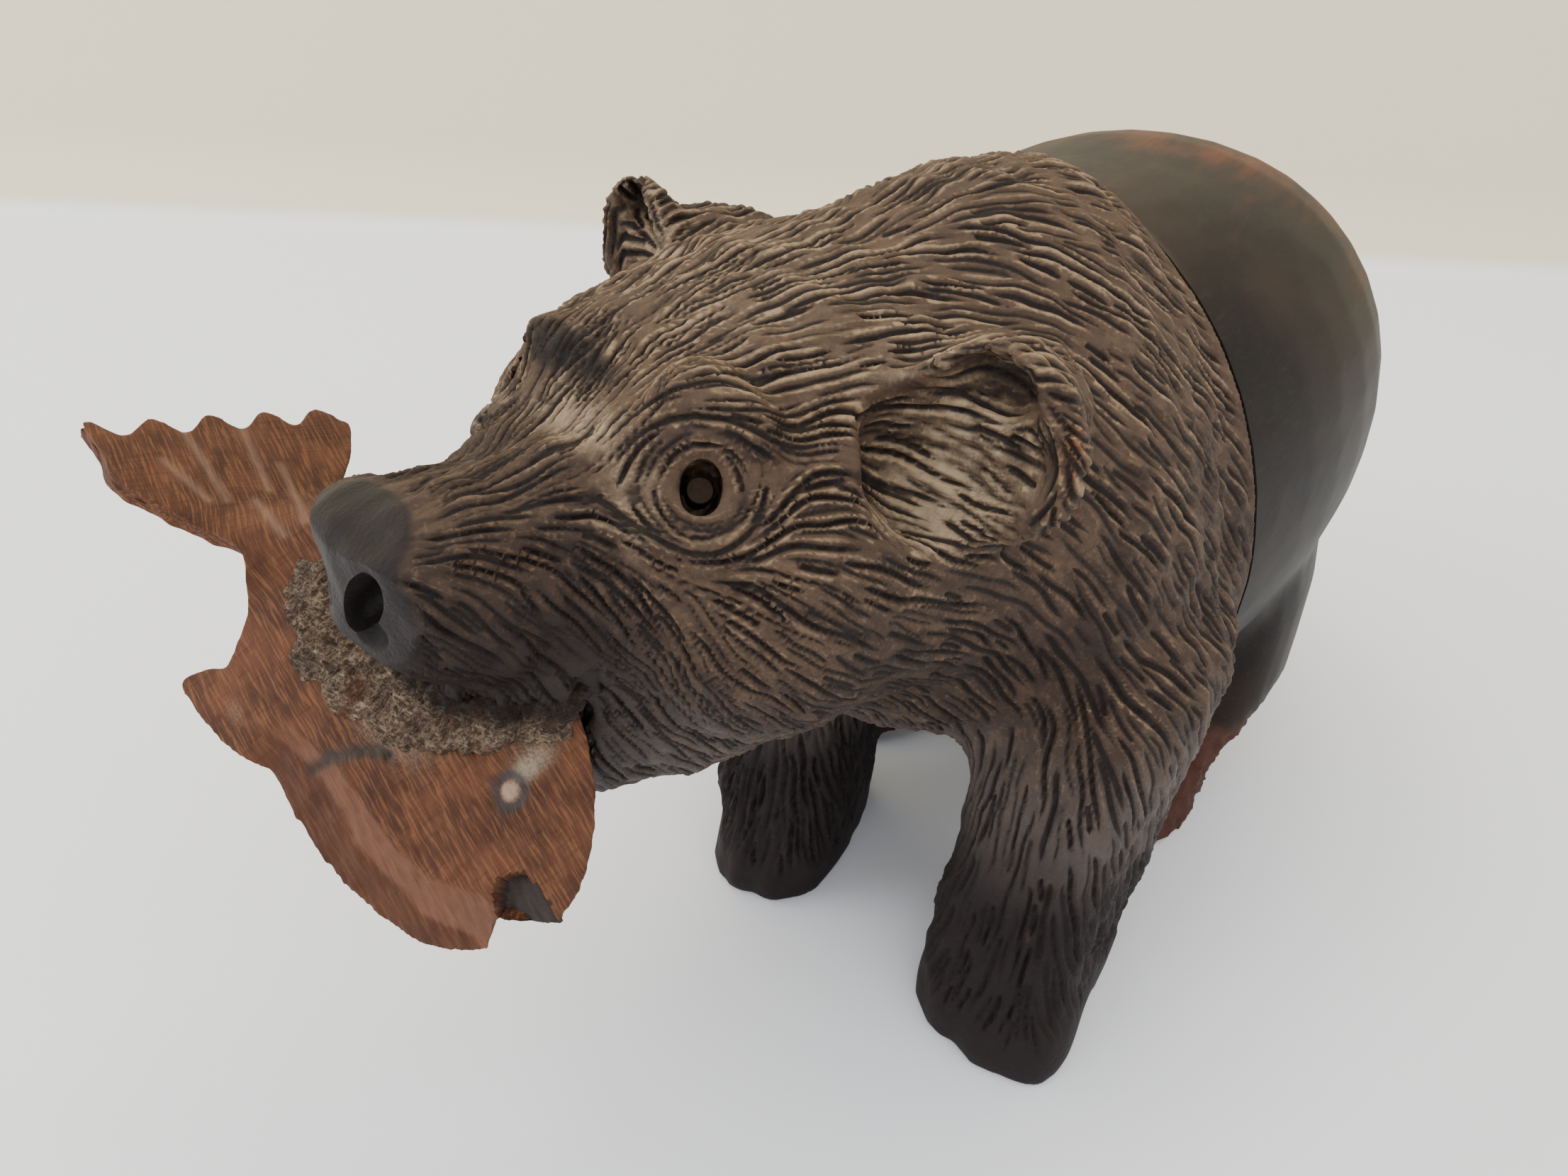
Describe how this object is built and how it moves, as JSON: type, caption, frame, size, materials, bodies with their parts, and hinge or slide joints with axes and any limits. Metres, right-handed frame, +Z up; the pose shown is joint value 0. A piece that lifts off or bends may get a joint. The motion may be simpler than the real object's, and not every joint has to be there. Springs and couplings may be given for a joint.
{
  "type": "carved wooden figurine",
  "caption": "Standing bear carved in dark hardwood with a fish held crosswise in its mouth; it rests on four flat paws.",
  "frame": {"origin": "middle of the footprint of the whole carving, on the surface it stands on", "axes": "+Z up, the bear's chest faces -Y and its rump +Y, +X is the bear's left side"},
  "size_m": [0.1168, 0.1924, 0.1057],
  "materials": {
    "dark_ironwood": "polished rump, gouged hair in front",
    "raw_ironwood": "rasped, unpolished",
    "pale_dowel": "plain, hidden",
    "sawdust_filler": "rough, dusty",
    "eye_peg_wood": "rough end grain"
  },
  "bodies": {
    "root": {"bear_body": "dark_ironwood", "fish": "raw_ironwood", "fish_dowel": "pale_dowel", "mouth_filler": "sawdust_filler", "left_eye_peg": "eye_peg_wood", "right_eye_peg": "eye_peg_wood"}
  },
  "joints": []
}
